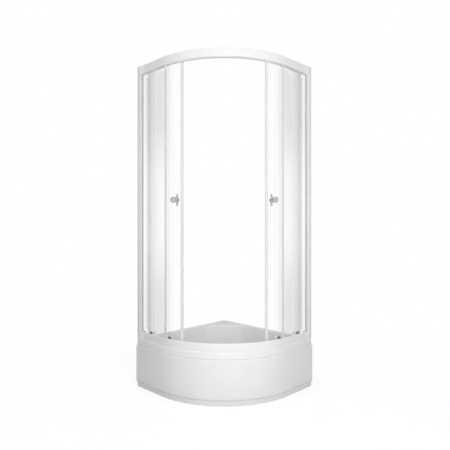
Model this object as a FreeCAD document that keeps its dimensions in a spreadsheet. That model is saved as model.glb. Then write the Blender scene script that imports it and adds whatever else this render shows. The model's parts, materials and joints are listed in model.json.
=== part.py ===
import FreeCAD, Part
import math
import os
import re
import Sketcher

# A quadrant shower enclosure for a room corner: a deep tray with an apron, two fixed panes on the
# straight arms and two curved doors that roll in the rails. Millimetres and degrees.
# Row frame: the room corner is at -X +Y, the door opening faces +X -Y, the floor is Z = 0.

sizes = {
    # Plan and heights
    "plan_side": 800,
    "plan_radius": 550,
    "total_height": 2053,
    "rim_top": 307,
    "rim_height": 39,
    "floor_height": 100,
    # Front apron
    "apron_wall": 4,
    "toe_height": 38,
    "toe_setback": 12,
    "apron_ease": 8,
    # Tray shell
    "rim_setback": 5,
    "rim_draft": 4,
    "rim_round": 5,
    "tray_wall": 5,
    "back_rim": 33,
    "front_rim": 45,
    "corner_cut": 190,
    "basin_draft": 6,
    # Drain and trap, on the diagonal
    "drain_from_middle": 60,
    "drain_bore": 46,
    "flange_radius": 57,
    "flange_lip": 2.5,
    "flange_tail_radius": 45,
    "flange_tail_length": 20,
    "drain_opening": 41,
    "cover_radius": 52,
    "cover_thickness": 4.5,
    "cover_skirt_radius": 40,
    "cover_skirt_depth": 12,
    "cover_gap": 0.2,
    "seal_thickness": 3,
    "trap_flange": 4,
    "trap_radius": 52,
    "trap_drop": 5,
    "trap_wall": 3,
    "fit_gap": 0.2,
    "outlet_radius": 20,
    "outlet_wall": 2.5,
    "outlet_bar_gap": 5,
    "outlet_wall_gap": 10,
    "outlet_free_end": 50,
    "collar_radius": 23,
    "collar_width": 4,
    # Steel frame and feet under the tray
    "bar_size": 25,
    "bar_wall": 2,
    "bar_wall_gap": 20,
    "back_bar_from_wall": 140,
    "front_bar_inset": 220,
    "left_cross_from_wall": 140,
    "right_cross_inset": 145,
    "clip_length": 20,
    "clip_height": 15,
    "clip_width": 20,
    "clip_gap": 0.3,
    "foot_wall_gap": 70,
    "foot_inset": 46,
    "stud_radius": 6,
    "pad_radius": 22,
    "pad_thickness": 12,
    "pad_socket": 6,
    "nut_radius": 11,
    "nut_thickness": 8,
    "thread_gap": 0.05,
    # Rails, offsets counted inwards from the rail face
    "rail_setback": 12,
    "rail_skin": 2.5,
    "rail_web": 2,
    "pocket_width": 7.5,
    "pocket_depth": 20.5,
    "track_width": 19,
    "lip_height": 4,
    "rail_ease": 1.6,
    "bottom_rail_height": 44.5,
    "track_drop": 8.5,
    "top_rail_height": 51,
    "ledge_height": 12,
    # Wall profiles and jambs
    "channel_proud": 4,
    "channel_width": 28,
    "channel_depth": 20.5,
    "channel_wall": 2,
    "slide_gap": 0.2,
    "jamb_start": 4,
    "jamb_reach": 52,
    "jamb_wall": 2,
    "glazing_depth": 12,
    "lip_setback": 8,
    "wall_hole_radius": 3.5,
    "wall_hole_edge": 150,
    "wall_hole_inner_edge": 650,
    "profile_screw_radius": 2,
    "profile_screw_head": 4,
    "profile_screw_head_height": 2.5,
    "profile_screw_depth": 4,
    "profile_screw_from_wall": 16,
    "profile_screw_edge": 200,
    # Fixed panes
    "glass_thickness": 5,
    "fixed_glass_offset": 3.8,
    "pane_overrun": 32,
    "gasket_wall": 1.2,
    "gasket_base": 2,
    "gasket_show": 6,
    "glass_head_gap": 4,
    "strip_cover": 6,
    "strip_nose": 6,
    "strip_wall": 1,
    "fin_run": 9,
    "fin_offset": 28,
    "fin_thickness": 1.5,
    "fin_end_clear": 26,
    "recess_end": 4,
    # Rail plugs and screws
    "plug_length": 30,
    "plug_gap": 0.3,
    "rail_screw_radius": 2.2,
    "rail_screw_head": 4.5,
    "rail_screw_head_height": 3,
    "rail_screw_grip": 18,
    # Doors
    "door_setback": 43,
    "door_sweep": 43,
    "meeting_gap": 0.4,
    "door_foot_gap": 11,
    "door_head_gap": 7,
    "door_swing": 26.164,
    "door_wall_gap": 3,
    # The doors' path along the bent rail, as ratios of the wheels' radius in plan
    "path_inset_ratio": 0.008068,
    "path_left_ratio": 0.07272,
    "path_back_ratio": 0.116515,
    "magnet_width": 20,
    "magnet_cover": 8,
    "magnet_wall": 2.5,
    "edge_gap": 0.2,
    "trailing_cover": 8,
    "trailing_nose": 3,
    "trailing_wall": 1.5,
    "trailing_fin": 17,
    "trailing_root": 9,
    "trailing_fin_thickness": 1.5,
    "trailing_end_clear": 3,
    # Rollers
    "wheel_offset": 21.5,
    "wheel_radius": 12,
    "wheel_width": 5,
    "wheel_gap": 0.3,
    "wheel_side_gap": 0.2,
    "front_wheel_angle": 9.6,
    "rear_wheel_angle": 30.5,
    "axle_radius": 3,
    "axle_fit": 0.05,
    "axle_head": 4.5,
    "axle_head_height": 1.5,
    "bush_radius": 6,
    "glass_hole_radius": 5,
    "bush_gap": 0.1,
    "cap_radius": 9,
    "cap_thickness": 6,
    "cap_grip": 4,
    "cap_gap": 0.3,
    "stop_length": 11,
    "stop_gap": 0.6,
    "stop_side_gap": 1,
    "stop_height": 8,
    # Door knobs
    "knob_height": 1186,
    "knob_from_tip": 41,
    "knob_bar_length": 70,
    "knob_bar_width": 10,
    "knob_bar_thickness": 8,
    "knob_neck_radius": 11,
    "knob_neck_length": 27,
    "knob_radius": 18.5,
    "knob_thickness": 14,
    "knob_round": 3,
    "stud_thread": 3,
    "stud_grip": 12,
    "knob_cap_radius": 12.5,
    "knob_cap_thickness": 8,
}

doc = FreeCAD.newDocument("ShowerEnclosure")
dims = doc.addObject("Spreadsheet::Sheet", "Dims")
for row, (alias, number) in enumerate(sizes.items(), start=1):
    dims.set(f"A{row}", str(number))
    dims.setAlias(f"A{row}", alias)
doc.recompute()

# Lengths that several pieces share, as formulas on the sheet
half = "(plan_side / 2)"
arm = "(plan_side - plan_radius)"
apron_top = "(rim_top - rim_height)"
rail_radius = "(plan_radius - rail_setback)"
partition = "(rail_skin + pocket_width + rail_web)"
lip_inner = f"({partition} + track_width)"
rail_depth = f"({lip_inner} + rail_web)"
bottom_rail_top = "(rim_top + bottom_rail_height)"
bottom_track = f"({bottom_rail_top} - track_drop)"
top_rail_bottom = "(total_height - top_rail_height)"
top_track = f"({top_rail_bottom} + ledge_height)"
fixed_glass_back = "(fixed_glass_offset + glass_thickness)"
slot_front = "(fixed_glass_offset - gasket_wall)"
slot_back = f"({fixed_glass_back} + gasket_wall)"
floor_top = "floor_height"
floor_under = f"({floor_top} - tray_wall)"
door_outer = f"({rail_radius} - door_setback)"
door_inner = f"({door_outer} - glass_thickness)"
wheel_plane = f"({rail_radius} - wheel_offset)"
fixed_glass_edge = f"({arm} + pane_overrun)"
door_bottom = "(rim_top + door_foot_gap)"
door_top = "(total_height - door_head_gap)"

nodes = []


def cell(text):
    return re.sub(r"\b(?!pi\b)([a-z][a-z_]*)\b(?!\()", r"Dims.\1", text)


def value(text):
    return float(dims.evalExpression(text))


def bind(thing, texts):
    for name, text in texts.items():
        thing.setExpression(name, cell(text))


def keep(thing, label):
    thing.Label = label
    nodes.append(thing)
    return thing


def place(thing, x, y, z):
    bind(thing, {"Placement.Base.x": x, "Placement.Base.y": y, "Placement.Base.z": z})


def new_body(name, x, y, z):
    body = doc.addObject("PartDesign::Body", name)
    place(body, x, y, z)
    return body


def new_sketch(body, name, role, lift=None):
    sketch = body.newObject("Sketcher::SketchObject", name)
    plane = [feature for feature in body.Origin.OriginFeatures if feature.Role == role][0]
    sketch.AttachmentSupport = [(plane, "")]
    sketch.MapMode = "FlatFace"
    if lift:
        sketch.setExpression("AttachmentOffset.Base.z", cell(lift))
    return sketch


def fix_point(sketch, line, x, y):
    for kind, text in (("DistanceX", x), ("DistanceY", y)):
        index = sketch.addConstraint(Sketcher.Constraint(kind, -1, 1, line, 1, value(text)))
        sketch.setExpression(f"Constraints[{index}]", cell(text))


def polygon(sketch, corners):
    first = sketch.GeometryCount
    points = [FreeCAD.Vector(value(x), value(y), 0) for x, y in corners]
    for start, end in zip(points, points[1:] + points[:1]):
        sketch.addGeometry(Part.LineSegment(start, end))
    for step, (x, y) in enumerate(corners):
        before = first + (step - 1) % len(corners)
        sketch.addConstraint(Sketcher.Constraint("Coincident", before, 2, first + step, 1))
        fix_point(sketch, first + step, x, y)


def quadrant(sketch, radius, reach, cut=None):
    # Two straight sides, a quarter arc about the origin and the room corner, cut off if asked
    corners = [(f"-{reach}", f"-{radius}"), ("0", f"-{radius}"), (radius, "0"), (radius, reach)]
    if cut:
        corners += [(f"{cut} - {reach}", reach), (f"-{reach}", f"{reach} - {cut}")]
    else:
        corners += [(f"-{reach}", reach)]
    points = [FreeCAD.Vector(value(x), value(y), 0) for x, y in corners]
    bend = 1
    for step, (start, end) in enumerate(zip(points, points[1:] + points[:1])):
        if step == bend:
            circle = Part.Circle(FreeCAD.Vector(0, 0, 0), FreeCAD.Vector(0, 0, 1), end.x)
            sketch.addGeometry(Part.ArcOfCircle(circle, -math.pi / 2, 0))
        else:
            sketch.addGeometry(Part.LineSegment(start, end))
    for step, (x, y) in enumerate(corners):
        before = (step - 1) % len(corners)
        sketch.addConstraint(Sketcher.Constraint("Coincident", before, 2, step, 1))
        fix_point(sketch, step, x, y)
    sketch.addConstraint(Sketcher.Constraint("PointOnObject", bend, 3, -2))


def pad(body, sketch, length, reverse=False, taper=None, kind="Pad"):
    feature = body.newObject(f"PartDesign::{kind}", f"{sketch.Name}_{kind.lower()}")
    feature.Profile = sketch
    feature.Reversed = reverse
    bind(feature, {"Length": length})
    if taper:
        bind(feature, {"TaperAngle": taper})
    sketch.Visibility = False
    doc.recompute()
    return feature


def bent(label, loops, start):
    # A section swept along the left arm, the quarter arc and the right arm. The section is drawn
    # with the distance from the arc's centre across and the height up.
    body = new_body(f"{label}_body", f"{half} - plan_radius", f"plan_radius - {half}", "0")
    right = new_sketch(body, f"{label}_right", "XZ_Plane")
    turn = new_sketch(body, f"{label}_turn", "XZ_Plane")
    left = new_sketch(body, f"{label}_left", "YZ_Plane")
    for loop in loops:
        polygon(right, loop)
        polygon(turn, loop)
        polygon(left, [(f"-({across})", up) for across, up in loop])
    pad(body, right, f"{arm} - {start}", reverse=True)
    arc = body.newObject("PartDesign::Revolution", f"{label}_arc")
    arc.Profile = turn
    arc.ReferenceAxis = (turn, ["V_Axis"])
    arc.Angle = 90
    arc.Reversed = True
    turn.Visibility = False
    doc.recompute()
    pad(body, left, f"{arm} - {start}", reverse=True)
    return keep(body, label)


def from_face(offset):
    return f"{rail_radius} - ({offset})"


def upright(name, loops, bottom, top):
    # An extrusion on the left arm: the distance from the wall across, the rail offset inwards
    body = new_body(name, f"-{half}", f"rail_setback - {half}", bottom)
    sketch = new_sketch(body, f"{name}_section", "XY_Plane")
    for loop in loops:
        polygon(sketch, loop)
    pad(body, sketch, f"{top} - {bottom}")
    return body


def box(name, corner, extent):
    piece = doc.addObject("Part::Box", name)
    bind(piece, dict(zip(("Length", "Width", "Height"), extent)))
    place(piece, *corner)
    return piece


def rod(name, radius, length, at, along):
    # A cylinder from the point "at" in the direction "along"
    piece = doc.addObject("Part::Cylinder", name)
    bind(piece, {"Radius": radius, "Height": length})
    turn = FreeCAD.Rotation(FreeCAD.Vector(0, 0, 1), along)
    piece.Placement = FreeCAD.Placement(at, turn)
    return piece


def upright_rod(name, radius, bottom, top, x, y):
    piece = doc.addObject("Part::Cylinder", name)
    bind(piece, {"Radius": radius, "Height": f"{top} - {bottom}"})
    place(piece, x, y, bottom)
    return piece


def joined(name, members):
    piece = doc.addObject("Part::MultiFuse", name)
    piece.Shapes = members
    piece.Refine = True
    return piece


def drilled(name, base, tools):
    piece = doc.addObject("Part::Cut", name)
    piece.Base = base
    piece.Tool = tools[0] if len(tools) == 1 else joined(f"{name}_tools", tools)
    piece.Refine = True
    return piece


def group(label, members):
    piece = doc.addObject("Part::Compound", f"{label}_group")
    piece.Links = members
    return keep(piece, label)


def mirrored(source, name):
    # The other side of the enclosure, across the diagonal through the room corner
    piece = doc.addObject("Part::Mirroring", name)
    piece.Source = source
    piece.Base = FreeCAD.Vector(0, 0, 0)
    piece.Normal = FreeCAD.Vector(1, 1, 0)
    return piece


def pair(source, label):
    keep(source, f"left_{label}")
    keep(mirrored(source, f"right_{label}_mirror"), f"right_{label}")


# Tray shell: rim with a drafted skirt, tapered basin and drain hole, drawn down from the rim top
tray = new_body("tray_body", f"{half} - plan_radius", f"plan_radius - {half}", "rim_top")
skirt = new_sketch(tray, "skirt", "XY_Plane")
skirt_flare = "(rim_height * tan(rim_draft))"
rim_radius = f"(plan_radius - rim_setback - {skirt_flare})"
quadrant(skirt, rim_radius, f"({arm} - {skirt_flare})")
skirt_pad = pad(tray, skirt, "rim_height", reverse=True, taper="rim_draft")
rim_edges = []
for count, edge in enumerate(skirt_pad.Shape.Edges, start=1):
    middle = edge.valueAt((edge.FirstParameter + edge.LastParameter) / 2)
    behind = max(-middle.x, middle.y) > value(f"{arm} - tray_wall")
    if middle.z > -value("tray_wall") and not behind:
        rim_edges.append(f"Edge{count}")
rim_fillet = tray.newObject("PartDesign::Fillet", "rim_fillet")
rim_fillet.Base = (skirt_pad, rim_edges)
bind(rim_fillet, {"Radius": "rim_round"})
doc.recompute()
hollow = new_sketch(tray, "hollow", "XY_Plane", lift="-rim_height")
quadrant(hollow, f"({rim_radius} - tray_wall)", f"({arm} - {skirt_flare} - tray_wall)")
pad(tray, hollow, "rim_height - tray_wall", reverse=True, kind="Pocket")
basin_radius = "(plan_radius - rim_setback - front_rim)"
basin_depth = f"(rim_top - {floor_top})"
bowl = new_sketch(tray, "bowl", "XY_Plane")
quadrant(bowl, f"({basin_radius} + tray_wall)", f"({arm} - back_rim + tray_wall)", "corner_cut")
pad(tray, bowl, f"{basin_depth} + tray_wall", reverse=True, taper="-basin_draft")
basin = new_sketch(tray, "basin", "XY_Plane")
quadrant(basin, basin_radius, f"({arm} - back_rim)", "corner_cut")
pad(tray, basin, basin_depth, taper="-basin_draft", kind="Pocket")
drain_x = "-drain_from_middle"
drain_y = "drain_from_middle"
drain_hole = upright_rod("drain_hole", "drain_bore", "0", "rim_top", drain_x, drain_y)
keep(drilled("tray_drilled", tray, [drain_hole]), "tray_shell")

# Apron in front of the tray, with its toe recess, standing on the floor
toe = "(plan_radius - toe_setback)"
apron_inner = "(plan_radius - apron_wall)"
apron_section = [
    (toe, "0"),
    (toe, "toe_height - apron_ease"),
    ("plan_radius - apron_ease / 3", "toe_height"),
    ("plan_radius", "toe_height + apron_ease"),
    ("plan_radius", apron_top),
    (apron_inner, apron_top),
    (apron_inner, "toe_height + apron_ease"),
    (f"{toe} - apron_wall", "toe_height - apron_ease + apron_wall"),
    (f"{toe} - apron_wall", "0"),
]
bent("front_apron", [apron_section], "0")

# Steel bars under the basin and the clips that hold the apron
bar_bottom = f"({floor_under} - bar_size)"
front_bar = "(plan_side - front_bar_inset)"


def tube(name, corner, extent, along):
    outer = box(f"{name}_outer", corner, extent)
    inner_corner = [f"{text} + bar_wall" for text in corner]
    inner_extent = [f"{text} - 2 * bar_wall" for text in extent]
    inner_corner[along] = corner[along]
    inner_extent[along] = extent[along]
    return drilled(name, outer, [box(f"{name}_inner", inner_corner, inner_extent)])


def bar_end(distance):
    # Where a bar that runs along X stops short of the apron
    across = f"({distance} - {arm})"
    reach = f"sqrt({apron_inner} * {apron_inner} - {across} * {across})"
    if value(across) < 0:
        reach = apron_inner
    return f"({half} - plan_radius + {reach} - clip_length)"


bars = []
clips = []
for side, distance in (("back", "back_bar_from_wall"), ("front", front_bar)):
    corner = [f"bar_wall_gap - {half}", f"{half} - {distance} - bar_size / 2", bar_bottom]
    extent = [f"{bar_end(distance)} - bar_wall_gap + {half}", "bar_size", "bar_size"]
    bars.append(tube(f"{side}_bar", corner, extent, 0))
    drop = "0" if side == "back" else "clip_width / 2"
    clip_corner = [bar_end(distance), f"{half} - {distance} - clip_width / 2", bar_bottom]
    clip_extent = [f"clip_length - clip_gap - {drop}", "clip_width", "clip_height"]
    clips.append(box(f"{side}_clip", clip_corner, clip_extent))
group("frame_long_bars", bars)
cross_bars = []
right_cross = f"({bar_end(front_bar)} - right_cross_inset)"
for side, middle in (("left", f"(left_cross_from_wall - {half})"), ("right", right_cross)):
    corner = [
        f"{middle} - bar_size / 2",
        f"{half} - {front_bar} + bar_size / 2",
        bar_bottom,
    ]
    extent = ["bar_size", f"{front_bar} - back_bar_from_wall - bar_size", "bar_size"]
    cross_bars.append(tube(f"{side}_cross", corner, extent, 1))
group("frame_cross_bars", cross_bars)
stay_front = f"(plan_radius - {half} - {apron_inner} + clip_gap)"
stay_corner = [f"{arm} / 2 - {half} - clip_width / 2", stay_front, bar_bottom]
stay_extent = [
    "clip_width",
    f"{half} - {front_bar} - bar_size / 2 - {stay_front}",
    "clip_height",
]
clips.append(box("side_clip", stay_corner, stay_extent))
group("apron_clips", clips)

# Levelling feet: stud, floor pad and lock nut under the bars
foot_places = []
for across in ("back_bar_from_wall", front_bar):
    foot_places.append((f"foot_wall_gap - {half}", across))
    foot_places.append((f"{bar_end(across)} - foot_inset", across))
studs = []
pads = []
nuts = []
for count, (x, across) in enumerate(foot_places, start=1):
    y = f"{half} - {across}"
    studs.append(upright_rod(f"stud_{count}", "stud_radius", "pad_socket", bar_bottom, x, y))
    disc = upright_rod(f"pad_disc_{count}", "pad_radius", "0", "pad_thickness", x, y)
    socket_radius = "stud_radius + thread_gap"
    socket = upright_rod(f"pad_socket_{count}", socket_radius, "pad_socket", "pad_thickness", x, y)
    pads.append(drilled(f"pad_{count}", disc, [socket]))
    hexagon = doc.addObject("Part::Prism", f"nut_hex_{count}")
    hexagon.Polygon = 6
    bind(hexagon, {"Circumradius": "nut_radius", "Height": "nut_thickness"})
    place(hexagon, x, y, f"{bar_bottom} - nut_thickness")
    thread = upright_rod(f"nut_bore_{count}", socket_radius, "pad_socket", bar_bottom, x, y)
    nuts.append(drilled(f"nut_{count}", hexagon, [thread]))
group("foot_studs", studs)
group("foot_pads", pads)
group("foot_nuts", nuts)

# Drain: flange in the floor, lift-out cover, seal, trap cup and outlet pipe


def drain_rod(name, radius, bottom, top):
    return upright_rod(name, radius, bottom, top, drain_x, drain_y)


tail_bottom = f"({floor_top} - flange_tail_length)"
flange_top = f"({floor_top} + flange_lip)"
flange = joined(
    "flange_solid",
    [
        drain_rod("flange_disc", "flange_radius", floor_top, flange_top),
        drain_rod("flange_tail", "flange_tail_radius", tail_bottom, floor_top),
    ],
)
flange_bore = drain_rod("flange_bore", "drain_opening", tail_bottom, flange_top)
keep(drilled("flange_bored", flange, [flange_bore]), "drain_flange")
cover_bottom = f"({flange_top} + cover_gap)"
cover_top = f"({cover_bottom} + cover_thickness)"
cover = joined(
    "cover_solid",
    [
        drain_rod("cover_disc", "cover_radius", cover_bottom, cover_top),
        drain_rod(
            "cover_skirt", "cover_skirt_radius", f"({cover_bottom} - cover_skirt_depth)", cover_bottom
        ),
    ],
)
keep(cover, "drain_cover")
seal_bottom = f"({floor_under} - seal_thickness)"
outlet_height = f"({bar_bottom} - outlet_bar_gap - outlet_radius)"
trap_bottom = f"({outlet_height} - outlet_radius - trap_drop)"
seal_disc = drain_rod("seal_disc", "flange_radius", seal_bottom, floor_under)
seal_bore = drain_rod("seal_bore", "flange_tail_radius + fit_gap", seal_bottom, floor_under)
keep(drilled("seal_ring", seal_disc, [seal_bore]), "drain_seal")
trap = joined(
    "trap_solid",
    [
        drain_rod("trap_cup", "trap_radius", trap_bottom, f"({seal_bottom} - trap_flange)"),
        drain_rod("trap_rim", "flange_radius", f"({seal_bottom} - trap_flange)", seal_bottom),
    ],
)
trap_inside = drain_rod(
    "trap_inside", "flange_tail_radius + fit_gap", f"({trap_bottom} + trap_wall)", seal_bottom
)
outlet_start = f"({drain_x} - flange_tail_radius - fit_gap)"
outlet_run = f"({outlet_start} + {half} - outlet_wall_gap)"
outlet_at = FreeCAD.Vector(value(outlet_start), value(drain_y), value(outlet_height))
to_wall = FreeCAD.Vector(-1, 0, 0)
outlet_hole = rod("outlet_hole", "outlet_radius + thread_gap", outlet_run, outlet_at, to_wall)
keep(drilled("trap_bored", trap, [trap_inside, outlet_hole]), "trap_body")
collar_start = f"({outlet_run} - outlet_free_end - collar_width)"
collar_at = outlet_at + to_wall * value(collar_start)
outlet = joined(
    "outlet_solid",
    [
        rod("outlet_outer", "outlet_radius", outlet_run, outlet_at, to_wall),
        rod("outlet_collar", "collar_radius", "collar_width", collar_at, to_wall),
    ],
)
outlet_bore = rod("outlet_bore", "outlet_radius - outlet_wall", outlet_run, outlet_at, to_wall)
keep(drilled("outlet_bored", outlet, [outlet_bore]), "outlet_pipe")

# Bottom rail: glazing pocket, roller track with its lip, and one hollow chamber
pocket_floor = f"({bottom_rail_top} - pocket_depth)"
pocket_back = "(rail_skin + pocket_width)"
bottom_section = [
    (from_face("0"), "rim_top"),
    (from_face("0"), f"{bottom_rail_top} - rail_ease"),
    (from_face("rail_ease"), bottom_rail_top),
    (from_face("rail_skin"), bottom_rail_top),
    (from_face("rail_skin"), pocket_floor),
    (from_face(pocket_back), pocket_floor),
    (from_face(pocket_back), bottom_rail_top),
    (from_face(partition), bottom_rail_top),
    (from_face(partition), bottom_track),
    (from_face(lip_inner), bottom_track),
    (from_face(lip_inner), f"{bottom_track} + lip_height"),
    (from_face(rail_depth), f"{bottom_track} + lip_height"),
    (from_face(rail_depth), "rim_top"),
]
chamber_floor = "(rim_top + rail_web)"
chamber_roof = f"({bottom_track} - rail_web)"
bottom_chamber = [
    (from_face("rail_web"), chamber_floor),
    (from_face("rail_web"), f"{pocket_floor} - rail_web"),
    (from_face(partition), f"{pocket_floor} - rail_web"),
    (from_face(partition), chamber_roof),
    (from_face(lip_inner), chamber_roof),
    (from_face(lip_inner), chamber_floor),
]
bent("bottom_rail", [bottom_section, bottom_chamber], "jamb_reach")

# Top rail: the same pocket opening downwards, and a roller ledge open to the inside
pocket_roof = f"({top_rail_bottom} + pocket_depth)"
roof_under = "(total_height - rail_skin)"
top_section = [
    (from_face("0"), f"{top_rail_bottom} + rail_ease"),
    (from_face("0"), "total_height - rail_ease"),
    (from_face("rail_ease"), "total_height"),
    (from_face(rail_depth), "total_height"),
    (from_face(rail_depth), roof_under),
    (from_face(partition), roof_under),
    (from_face(partition), top_track),
    (from_face(lip_inner), top_track),
    (from_face(lip_inner), f"{top_track} + lip_height"),
    (from_face(rail_depth), f"{top_track} + lip_height"),
    (from_face(rail_depth), top_rail_bottom),
    (from_face(pocket_back), top_rail_bottom),
    (from_face(pocket_back), pocket_roof),
    (from_face("rail_skin"), pocket_roof),
    (from_face("rail_skin"), top_rail_bottom),
    (from_face("rail_ease"), top_rail_bottom),
]
upper_chamber = [
    (from_face("rail_skin"), f"{pocket_roof} + rail_web"),
    (from_face("rail_skin"), roof_under),
    (from_face(pocket_back), roof_under),
    (from_face(pocket_back), f"{pocket_roof} + rail_web"),
]
ledge_floor = f"({top_rail_bottom} + rail_web)"
ledge_roof = f"({top_track} - rail_web)"
ledge_chamber = [
    (from_face(partition), ledge_floor),
    (from_face(partition), ledge_roof),
    (from_face(lip_inner), ledge_roof),
    (from_face(lip_inner), ledge_floor),
]
bent("top_rail", [top_section, upper_chamber, ledge_chamber], "jamb_reach")

# Wall profiles: a channel on each wall, with holes for the wall screws
channel_front = "-channel_proud"
channel_back = "(channel_depth - channel_proud)"
channel_inner_front = "(channel_wall - channel_proud)"
channel_inner_back = f"({channel_back} - channel_wall)"
channel_section = [
    ("0", channel_front),
    ("channel_width", channel_front),
    ("channel_width", channel_inner_front),
    ("channel_wall", channel_inner_front),
    ("channel_wall", channel_inner_back),
    ("channel_width", channel_inner_back),
    ("channel_width", channel_back),
    ("0", channel_back),
]
channel = upright("channel", [channel_section], "rim_top", "total_height")


def arm_point(from_wall, offset, height):
    return FreeCAD.Vector(
        value(f"({from_wall}) - {half}"),
        value(f"({offset}) + rail_setback - {half}"),
        value(height),
    )


away_from_wall = FreeCAD.Vector(1, 0, 0)
inwards = FreeCAD.Vector(0, 1, 0)
channel_middle = f"(({channel_front} + {channel_back}) / 2)"
wall_hole_heights = [
    "rim_top + wall_hole_edge",
    "rim_top + wall_hole_inner_edge",
    "total_height - wall_hole_inner_edge",
    "total_height - wall_hole_edge",
]
channel_tools = []
for count, height in enumerate(wall_hole_heights, start=1):
    at = arm_point("0", channel_middle, height)
    channel_tools.append(
        rod(f"wall_hole_{count}", "wall_hole_radius", "channel_wall", at, away_from_wall)
    )
screw_heights = [
    "rim_top + profile_screw_edge",
    "(rim_top + total_height) / 2",
    "total_height - profile_screw_edge",
]
jamb_back = f"({channel_inner_back} - slide_gap)"
jamb_tools = []
left_profile_screws = []
screw_tip = f"({jamb_back} - profile_screw_depth)"
for count, height in enumerate(screw_heights, start=1):
    tip = arm_point("profile_screw_from_wall", screw_tip, height)
    seat = arm_point("profile_screw_from_wall", channel_back, height)
    shank_run = f"{channel_back} - {screw_tip}"
    hole_radius = "profile_screw_radius + thread_gap"
    channel_tools.append(rod(f"channel_hole_{count}", hole_radius, shank_run, tip, inwards))
    jamb_tools.append(rod(f"jamb_hole_{count}", hole_radius, shank_run, tip, inwards))
    shank = rod(f"profile_shank_{count}", "profile_screw_radius", shank_run, tip, inwards)
    head = rod(
        f"profile_head_{count}", "profile_screw_head", "profile_screw_head_height", seat, inwards
    )
    left_profile_screws.append(joined(f"profile_screw_{count}", [shank, head]))
pair(drilled("channel_drilled", channel, channel_tools), "wall_profile")
right_profile_screws = [mirrored(screw, f"{screw.Name}_right") for screw in left_profile_screws]
group("profile_screws", left_profile_screws + right_profile_screws)

# Jambs: slide in the wall profiles, hold the fixed panes and take the rail ends
jamb_front = f"({channel_inner_front} + slide_gap)"
slot_floor = "(jamb_reach - glazing_depth)"
jamb_section = [
    ("jamb_start", jamb_front),
    ("jamb_reach", jamb_front),
    ("jamb_reach", slot_front),
    (slot_floor, slot_front),
    (slot_floor, slot_back),
    ("jamb_reach", slot_back),
    ("jamb_reach", jamb_back),
    ("jamb_start", jamb_back),
]
jamb_chamber = [
    ("jamb_start + jamb_wall", f"{jamb_front} + jamb_wall"),
    (f"{slot_floor} - jamb_wall", f"{jamb_front} + jamb_wall"),
    (f"{slot_floor} - jamb_wall", f"{jamb_back} - jamb_wall"),
    ("jamb_start + jamb_wall", f"{jamb_back} - jamb_wall"),
]
jamb_bar = upright("jamb_bar", [jamb_section, jamb_chamber], "rim_top", "total_height")
# At each rail a block on the jamb closes the rail's end
recess_bottom = f"({bottom_rail_top} + recess_end)"
recess_top = f"({top_rail_bottom} - recess_end)"
screw_seat = f"({slot_floor} - jamb_wall)"
jamb_members = [jamb_bar]
for name, low, high in (
    ("bottom", "rim_top", recess_bottom),
    ("top", recess_top, "total_height"),
):
    corner = [f"{screw_seat} - {half}", f"{slot_back} + rail_setback - {half}", low]
    extent = [f"jamb_reach - {screw_seat}", f"{rail_depth} - rail_skin - {slot_back}", f"{high} - {low}"]
    jamb_members.append(box(f"{name}_jamb_block", corner, extent))
jamb = joined("jamb", jamb_members)
# Between the rails both lips of the glazing slot are cut back
lip_end = "(jamb_reach - lip_setback)"
recess_corner = [
    f"{lip_end} - {half}",
    f"{jamb_front} + rail_setback - {half}",
    recess_bottom,
]
recess_extent = ["lip_setback", f"{jamb_back} - ({jamb_front})", f"{recess_top} - {recess_bottom}"]
jamb_tools.append(box("jamb_recess", recess_corner, recess_extent))

# Rail plugs: blocks in the rail ends, each drawn to its jamb by a screw
track_middle = f"(({partition} + {lip_inner}) / 2)"
left_plugs = []
left_rail_screws = []
for name, low, high in (
    ("bottom", chamber_floor, chamber_roof),
    ("top", ledge_floor, ledge_roof),
):
    corner = [f"jamb_reach - {half}", f"{partition} + plug_gap + rail_setback - {half}", low]
    extent = ["plug_length", "track_width - 2 * plug_gap", f"{high} - {low} - plug_gap"]
    block = box(f"{name}_plug_block", corner, extent)
    at = arm_point(screw_seat, track_middle, f"({low} + {high}) / 2")
    shank_run = f"jamb_reach + rail_screw_grip - {screw_seat}"
    hole_radius = "rail_screw_radius + thread_gap"
    jamb_tools.append(rod(f"{name}_jamb_way", hole_radius, shank_run, at, away_from_wall))
    way = rod(f"{name}_plug_way", hole_radius, shank_run, at, away_from_wall)
    left_plugs.append(drilled(f"{name}_plug", block, [way]))
    shank = rod(f"{name}_rail_shank", "rail_screw_radius", shank_run, at, away_from_wall)
    head = rod(f"{name}_rail_head", "rail_screw_head", "rail_screw_head_height", at, -away_from_wall)
    left_rail_screws.append(joined(f"{name}_rail_screw", [shank, head]))
pair(drilled("jamb_drilled", jamb, jamb_tools), "jamb")
group("rail_plugs", left_plugs + [mirrored(plug, f"{plug.Name}_right") for plug in left_plugs])
right_rail_screws = [mirrored(screw, f"{screw.Name}_right") for screw in left_rail_screws]
group("rail_screws", left_rail_screws + right_rail_screws)

# Fixed panes, the gaskets in the jambs and the strips on the free edges
glass_start = f"({slot_floor} + gasket_base)"
pane_corner = [
    f"{glass_start} - {half}",
    f"fixed_glass_offset + rail_setback - {half}",
    pocket_floor,
]
pane_extent = [
    f"{fixed_glass_edge} - {glass_start}",
    "glass_thickness",
    f"{pocket_roof} - glass_head_gap - {pocket_floor}",
]
pair(box("pane", pane_corner, pane_extent), "fixed_glass")
gasket_end = f"({lip_end} + gasket_show)"
gasket_section = [
    (slot_floor, slot_front),
    (gasket_end, slot_front),
    (gasket_end, "fixed_glass_offset"),
    (glass_start, "fixed_glass_offset"),
    (glass_start, fixed_glass_back),
    (gasket_end, fixed_glass_back),
    (gasket_end, slot_back),
    (slot_floor, slot_back),
]
pair(upright("gasket", [gasket_section], bottom_rail_top, top_rail_bottom), "glass_gasket")
strip_start = f"({fixed_glass_edge} - strip_cover)"
strip_end = f"({fixed_glass_edge} + strip_nose)"
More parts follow.
